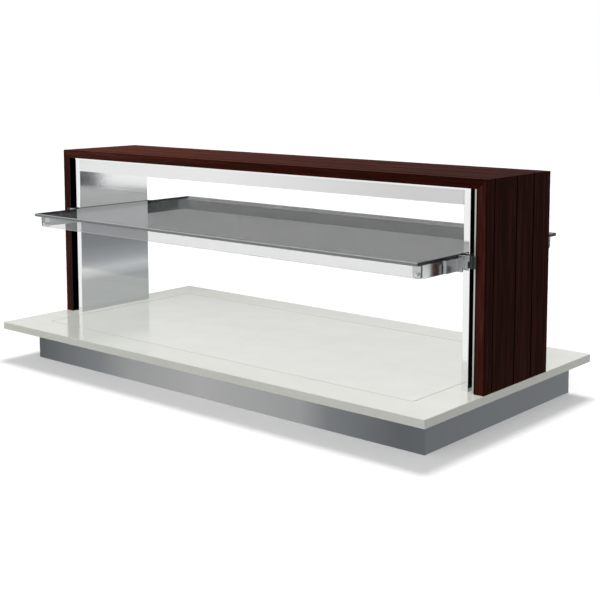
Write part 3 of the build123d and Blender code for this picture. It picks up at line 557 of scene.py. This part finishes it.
def turned(profile, sides=36):
    """Turned piece on +Z: rings of radius r at height h, where a hexagon's ring has r / cos(a mod 60 - 30).

    profile rows are (radius or half across the flats, height, ROUND or HEXAGON). Returns points and faces."""
    rows = np.array(profile, float)
    angle = np.linspace(0, 2 * np.pi, sides, endpoint=False)
    sixth = 1 / np.cos(np.mod(angle, np.pi / 3) - np.pi / 6)
    reach = rows[:, :1] * np.where(rows[:, 2:] == HEXAGON, sixth[None], 1.0)
    height = np.broadcast_to(rows[:, 1:2], reach.shape)
    points = np.stack([reach * np.cos(angle), reach * np.sin(angle), height], -1)
    body, caps = rings_to_faces(len(rows), sides)
    return points.reshape(-1, 3), body + caps


def fasteners(name, profile, spots, material, body, node):
    """Equal turned pieces set at each spot: (point of the head's seat, direction the head looks)."""
    points, faces = turned(profile)
    all_points, all_faces = [], []
    for spot, looks in spots:
        way = np.array(Vector(looks).to_track_quat("Z", "Y").to_matrix())
        all_faces += [[i + len(all_points) * len(points) for i in face] for face in faces]
        all_points.append(points @ way.T + np.array(spot))
    piece(name, np.concatenate(all_points), all_faces, [material], body, node)


def socket_head(radius, height, crown, shank_radius, shank, flats):
    """Profile of a socket head screw: shank end, shank, seat, side, crowned top, six-sided socket."""
    point, rim, floor_height = 0.4, 0.25, 0.4 * height
    return [
        (shank_radius - point, -shank, ROUND), (shank_radius, -shank + point, ROUND),
        (shank_radius, 0, ROUND), (radius, 0, ROUND), (radius, height - crown, ROUND),
        (radius - 0.3 * crown, height - 0.35 * crown, ROUND), (radius - crown, height, ROUND),
        (flats / 2 + rim, height, HEXAGON), (flats / 2, height - rim, HEXAGON),
        (flats / 2, floor_height, HEXAGON),
    ]


screw_shank_radius, screw_flats = 2.4, 2.5

lip_head, lip_head_height, lip_crown, lip_shank = 4.5, 2.0, 0.9, 10.3
centre, half = middle("lip_screws")
fasteners(
    "lip_screw_heads",
    socket_head(lip_head, lip_head_height, lip_crown, screw_shank_radius, lip_shank, screw_flats),
    [((side * (half[0] - lip_head), end * (half[1] - lip_head_height), centre[2]), (0, end, 0))
     for side, end in corners],
    blasted, "shelf", "lip_screws",
)

bracket_head, bracket_head_height, bracket_crown = 4.0, 2.5, 0.4
bracket_shank, bracket_pitch = 6.5, 23.0
centre, half = middle("bracket_screws")
fasteners(
    "bracket_screw_heads",
    socket_head(
        bracket_head, bracket_head_height, bracket_crown, screw_shank_radius, bracket_shank, screw_flats
    ),
    [((side * (half[0] - bracket_shank), end * (half[1] - bracket_head - along), centre[2]), (-side, 0, 0))
     for side, end in corners for along in (0, bracket_pitch)],
    satin, "shelf", "bracket_screws",
)

grub_radius, grub_length, grub_point = 3.0, 15.2, 0.8
grub_end_width, grub_end_height = 0.5, 0.6
grub_socket, grub_socket_depth = 1.5, 3.0
grub_rim_width, grub_rim_height = 0.25, 0.2
centre, half = middle("clamp_screws")
fasteners(
    "clamp_grub_screws",
    [(grub_radius - grub_point, 0, ROUND), (grub_radius, grub_point, ROUND),
     (grub_radius, grub_length - grub_end_height, ROUND),
     (grub_radius - grub_end_width, grub_length, ROUND),
     (grub_socket + grub_rim_width, grub_length, HEXAGON),
     (grub_socket, grub_length - grub_rim_height, HEXAGON),
     (grub_socket, grub_length - grub_socket_depth, HEXAGON)],
    [((side * (half[0] - grub_radius), end * (half[1] - grub_length), centre[2]), (0, end, 0))
     for side, end in corners],
    satin, "shelf", "clamp_screws",
)

# Bulkhead unions: a hexagon against the skirt, then a threaded tail with the pipe's bore
fitting_chamfer = 0.6
union_reach, union_flats, union_face, union_hexagon = 12, 10.3, 9.4, 4
union_crest, union_root, union_end, union_pitch = 8.5, 7.9, 7.2, 1.5
union_bore, union_bore_end = 3, 8
centre, half = middle("pipe_unions")
union_length = 2 * half[1]
turns = np.arange(union_hexagon + 1.0, union_length - 1.0, union_pitch / 2)
thread = [(union_crest if k % 2 else union_root, height, ROUND) for k, height in enumerate(turns)]
fasteners(
    "pipe_union_fittings",
    [(union_flats, 0, HEXAGON), (union_flats, union_hexagon - fitting_chamfer, HEXAGON),
     (union_face, union_hexagon, ROUND), (union_root, union_hexagon, ROUND), *thread,
     (union_root, union_length - fitting_chamfer, ROUND), (union_end, union_length, ROUND),
     (union_bore, union_length, ROUND), (union_bore, union_bore_end, ROUND)],
    [((side * (half[0] - union_reach), centre[1] - half[1], centre[2]), (0, 1, 0)) for side in (-1, 1)],
    turned_brass, "island", "pipe_unions",
)

# Cable gland: a stub through the skirt, a hexagon against it, then a ridged dome nut with the lead's bore
gland_out, gland_radius, gland_bore, gland_bore_end = 17.0, 8, 4, 7
gland_flats, gland_face, gland_hexagon = 10.3, 9.6, 5
gland_neck, neck_end, nut_start = 7.4, 6.2, 6.8
groove_radius, groove_feet, groove_run, groove_rise, groove_width = 7.6, (8.2, 10.8), 0.3, 0.9, 1.2
dome_start, dome_shoulder, dome_height, dome_top = 14, 7.2, 15.9, 5.4
centre, half = middle("cable_gland")
grooves = [
    (radius, foot + step, ROUND) for foot in groove_feet
    for radius, step in ((gland_radius, 0), (groove_radius, groove_run), (groove_radius, groove_rise),
                         (gland_radius, groove_width))
]
fasteners(
    "cable_gland_body",
    [(gland_radius, gland_out - 2 * half[1], ROUND), (gland_radius, 0, ROUND), (gland_flats, 0, HEXAGON),
     (gland_flats, gland_hexagon - fitting_chamfer, HEXAGON), (gland_face, gland_hexagon, ROUND),
     (gland_neck, gland_hexagon, ROUND), (gland_neck, neck_end, ROUND), (gland_radius, nut_start, ROUND),
     *grooves, (gland_radius, dome_start, ROUND), (dome_shoulder, dome_height, ROUND),
     (dome_top, gland_out, ROUND),
     (gland_bore, gland_out, ROUND), (gland_bore, gland_bore_end, ROUND)],
    [((centre[0], centre[1] + half[1] - gland_out, centre[2]), (0, 1, 0))],
    black_plastic, "island", "cable_gland",
)

# Broken edges of the arms, brackets, shoes and slide plates, so that they catch the light
ease_width, ease_segments, weld_reach = 0.4, 2, 0.02
for name in f"left_arm right_arm {brackets} {shoes} left_slide_plate right_slide_plate".split():
    nodes[name].modifiers.new("weld", "WELD").merge_threshold = weld_reach * MM
    ease = nodes[name].modifiers.new("ease", "BEVEL")
    ease.width = ease_width * MM
    ease.segments = ease_segments
    ease.limit_method = "ANGLE"
    ease.angle_limit = sharp


# Stage: a floor that is white to the camera and in reflections, and keeps the object's shadow

white = (1, 1, 1, 1)
floor_seen, floor_bounced, floor_lift = "#e6e6e6", "#b4b4b4", 0.25
floor_half, floor_drop = 30, 0.0005


def floor_material():
    """Matt pale floor paint: light to the camera and darker to the light that it throws back on the object.

    A lift that only the camera sees takes it to white away from the object."""
    made, tree, _ = start("studio_floor")
    paths = add(tree, "ShaderNodeLightPath")
    tone = add(
        tree, "ShaderNodeMix", {"data_type": "RGBA"},
        {COLOUR_A: linear(floor_seen), COLOUR_B: linear(floor_bounced)},
        {FACTOR: paths.outputs["Is Diffuse Ray"]},
    )
    paint = add(tree, "ShaderNodeBsdfDiffuse", links={"Color": tone.outputs[MIXED_COLOUR]})
    lift = add(
        tree, "ShaderNodeMapRange", values={"To Min": 0.0, "To Max": floor_lift},
        links={"Value": paths.outputs["Is Camera Ray"]},
    )
    glow = add(tree, "ShaderNodeEmission", values={"Color": white}, links={"Strength": lift})
    both = add(tree, "ShaderNodeAddShader", links={0: paint, 1: glow})
    mirrored = add(tree, "ShaderNodeEmission", values={"Color": white})
    shade = add(
        tree, "ShaderNodeMixShader", links={"Fac": paths.outputs["Is Glossy Ray"], 1: both, 2: mirrored}
    )
    add(tree, "ShaderNodeOutputMaterial", links={"Surface": shade})
    return made


def stage_plane(name, outline, material):
    """A flat outline that belongs to the studio and not to the object."""
    mesh = bpy.data.meshes.new(name)
    mesh.from_pydata(outline, [], [list(range(len(outline)))])
    mesh.materials.append(material)
    made = bpy.data.objects.new(name, mesh)
    bpy.context.scene.collection.objects.link(made)
    return made


stage_plane(
    "studio_floor",
    [(side * floor_half, end * floor_half, -floor_drop)
     for side, end in ((-1, -1), (1, -1), (1, 1), (-1, 1))],
    floor_material(),
)

# Room: full white to the camera and in reflections, and a dim fill for everything else
room_fill = 0.28
world = bpy.data.worlds.new("studio")
bpy.context.scene.world = world
world.use_nodes = True
tree = world.node_tree
tree.nodes.clear()
paths = add(tree, "ShaderNodeLightPath")
fill = add(
    tree, "ShaderNodeMath", {"operation": "MULTIPLY_ADD"}, {1: 1 - room_fill, 2: room_fill},
    {0: paths.outputs["Is Glossy Ray"]},
)
level = add(
    tree, "ShaderNodeMapRange", values={"To Max": 1.0},
    links={"To Min": fill, "Value": paths.outputs["Is Camera Ray"]},
)
sky = add(tree, "ShaderNodeBackground", values={"Color": white}, links={"Strength": level})
add(tree, "ShaderNodeOutputWorld", links={"Surface": sky})


def soft_lamp(name, towards, spread, strength, shaded_by=()):
    """An even lamp that shines along a direction from a wide disc, so that its shadows are soft.

    Reflections show the pale studio instead of the lamp, so that polished tops keep their tone from all
    sides. Where shaded_by names nodes, only those throw its shadow."""
    light = bpy.data.lights.new(name, "SUN")
    light.angle = math.radians(spread)
    light.energy = strength
    made = bpy.data.objects.new(name, light)
    made.visible_glossy = False
    made.rotation_euler = Vector(towards).to_track_quat("-Z", "Y").to_euler()
    bpy.context.scene.collection.objects.link(made)
    if shaded_by:
        made.light_linking.blocker_collection = bpy.data.collections.new(f"{name}_shades")
        for node in shaded_by:
            made.light_linking.blocker_collection.objects.link(nodes[node])


soft_lamp(
    "overhead_softbox", towards=(0.35, -0.45, -1), spread=22, strength=2.38,
    shaded_by=("worktop", "cold_plate", "base_skirt"),
)
soft_lamp("front_softbox", towards=(-0.12, 0.85, -0.55), spread=50, strength=1.1)


def grey_card(name, outline, tones):
    """A studio flag that only reflections see: it gives polished steel and glass their dark tones.

    tones run along X from one end of the outline to the other."""
    made, tree, place = start(name)
    split = add(tree, "ShaderNodeSeparateXYZ", links={"Vector": place})
    across = [x for x, y, z in outline]
    share = add(
        tree, "ShaderNodeMapRange", values={"From Min": min(across), "From Max": max(across)},
        links={"Value": split.outputs["X"]},
    )
    colour = add(tree, "ShaderNodeValToRGB", links={"Fac": share}, stops=tones)
    glow = add(tree, "ShaderNodeEmission", links={"Color": colour})
    add(tree, "ShaderNodeOutputMaterial", links={"Surface": glow})
    card = stage_plane(name, outline, made)
    card.visible_camera = card.visible_diffuse = card.visible_shadow = card.visible_transmission = False


# On the floor behind the island's right end, where the left column's mirror looks
card_height = 0.001
near_outline = ((-0.1, 0.45), (0.5, 0.5), (2.75, 2.35), (3.0, 3.0), (2.6, 3.15), (0.5, 1.6), (-0.1, 1.0))
far_outline = ((3.0, 2.55), (4.8, 4.05), (4.8, 4.5), (3.0, 3.0))
grey_card(
    "rear_right_card", [(x, y, card_height) for x, y in near_outline],
    [(0.0, "#e0e1e1"), (0.14, "#c9cbcc"), (0.2, "#a0a3a5"), (0.32, "#84878a"), (0.6, "#76797c"),
     (0.8, "#4a4d50"), (1.0, "#54575a")],
)
grey_card(
    "far_right_card", [(x, y, card_height) for x, y in far_outline], [(0.0, "#3c3f42"), (1.0, "#34373a")]
)
# Far behind the island's left end, where the shelf's glass and the beam's lacquer look
flag_left, flag_right, flag_foot, flag_top = (-24.0, 14.0), (-9.0, 27.0), 2.1, 5.0
grey_card(
    "far_left_flag",
    [(*flag_left, flag_foot), (*flag_right, flag_foot), (*flag_right, flag_top), (*flag_left, flag_top)],
    [(0.0, "#141414"), (1.0, "#1a1a1a")],
)

# Camera, fitted to the edges in the photograph: place, turn, tilt and lens, and how far its axis lies above
# the middle of the frame, in pixels
frame_pixels, focal_pixels, axis_rise = 600, 1173.93, 100
eye = Vector((2.1269, -2.39395, 0.8486))
yaw = math.radians(40.573)
pitch = math.radians(6.4385)
roll = math.radians(0.0586)
forward = Vector((-math.sin(yaw) * math.cos(pitch), math.cos(yaw) * math.cos(pitch), -math.sin(pitch)))
right = Vector((math.cos(yaw), math.sin(yaw), 0))
up = right.cross(forward)
turn = Matrix((right, up, -forward)).transposed() @ Matrix.Rotation(-roll, 3, "Z")
optics = bpy.data.cameras.new("photo_camera")
optics.sensor_width = 36
optics.lens = focal_pixels / frame_pixels * optics.sensor_width
optics.shift_y = -axis_rise / frame_pixels
camera = bpy.data.objects.new("photo_camera", optics)
camera.matrix_world = Matrix.Translation(eye) @ turn.to_4x4()
bpy.context.scene.collection.objects.link(camera)
bpy.context.scene.camera = camera

bpy.context.scene.view_settings.view_transform = "Standard"
